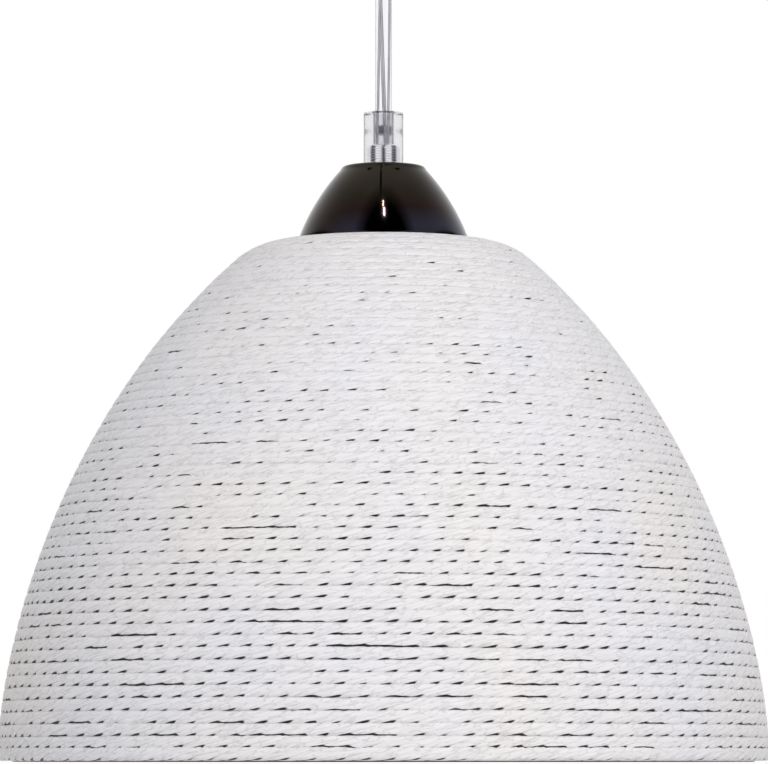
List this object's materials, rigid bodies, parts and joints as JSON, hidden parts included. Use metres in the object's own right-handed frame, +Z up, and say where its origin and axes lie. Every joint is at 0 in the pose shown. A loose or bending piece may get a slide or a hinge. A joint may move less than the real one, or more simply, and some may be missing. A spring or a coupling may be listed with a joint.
{
  "type": "pendant light",
  "caption": "Pendant light: a dome shade wound from white cord under a dark polished metal cup, hung by a clear round cable from a ceiling canopy.",
  "frame": {"origin": "on the ceiling, at the middle of the mounting bracket's upper face; the light hangs below it", "axes": "+Z is up, out of the ceiling face; the bracket's strap runs along X, and the cord grips' screws are at the back, towards +Y"},
  "size_m": [0.3, 0.2984, 0.3712],
  "materials": {
    "paper_cord": "matt twisted paper cord",
    "dark_nickel": "polished dark nickel",
    "steel": "zinc-plated",
    "brass": "satin",
    "clear_plastic": "clear, glossy",
    "clear_sheath": "clear soft plastic",
    "silver_core": "silver-grey insulated wire",
    "bakelite": "black moulded",
    "white_plastic": "moulded",
    "ceramic": "glazed ceramic",
    "black_enamel": "powder-coated wire",
    "opal_glass": "opal"
  },
  "bodies": {
    "root": {"mounting_bracket": "steel", "ceiling_canopy": "dark_nickel", "canopy_screw_left": "dark_nickel", "canopy_screw_right": "dark_nickel", "canopy_cord_grip": "clear_plastic", "canopy_grip_screw": "clear_plastic", "canopy_nipple": "steel", "canopy_washer": "steel", "canopy_locknut": "steel", "terminal_block": "white_plastic", "terminal_insert_live": "brass", "terminal_insert_neutral": "brass", "terminal_insert_earth": "brass", "terminal_screw_live": "steel", "terminal_screw_neutral": "steel", "terminal_screw_earth": "steel", "block_screw_1": "steel", "block_screw_2": "steel", "earth_screw": "brass", "earth_link": "silver_core", "top_core_live": "silver_core", "top_core_neutral": "silver_core", "top_core_earth": "silver_core", "supply_cord": "clear_sheath", "cord_grip": "clear_plastic", "grip_screw": "clear_plastic", "threaded_nipple": "steel", "lamp_cup": "dark_nickel", "cup_locknut": "steel", "lampholder_cap": "bakelite", "lampholder_body": "bakelite", "contact_block": "ceramic", "centre_contact": "brass", "screw_shell": "brass", "live_terminal": "brass", "neutral_terminal": "brass", "earth_terminal": "brass", "holder_screw_live": "steel", "holder_screw_neutral": "steel", "lamp_core_live": "silver_core", "lamp_core_neutral": "silver_core", "lamp_core_earth": "silver_core", "shade_ring": "bakelite", "fitter_plate": "black_enamel", "rib_1": "black_enamel", "rib_2": "black_enamel", "rib_3": "black_enamel", "rib_4": "black_enamel", "rib_5": "black_enamel", "rib_6": "black_enamel", "bottom_ring": "black_enamel", "cord_shade_top": "paper_cord", "cord_shade_upper": "paper_cord", "cord_shade_middle": "paper_cord", "cord_shade_lower": "paper_cord", "bulb": "opal_glass"}
  },
  "joints": []
}
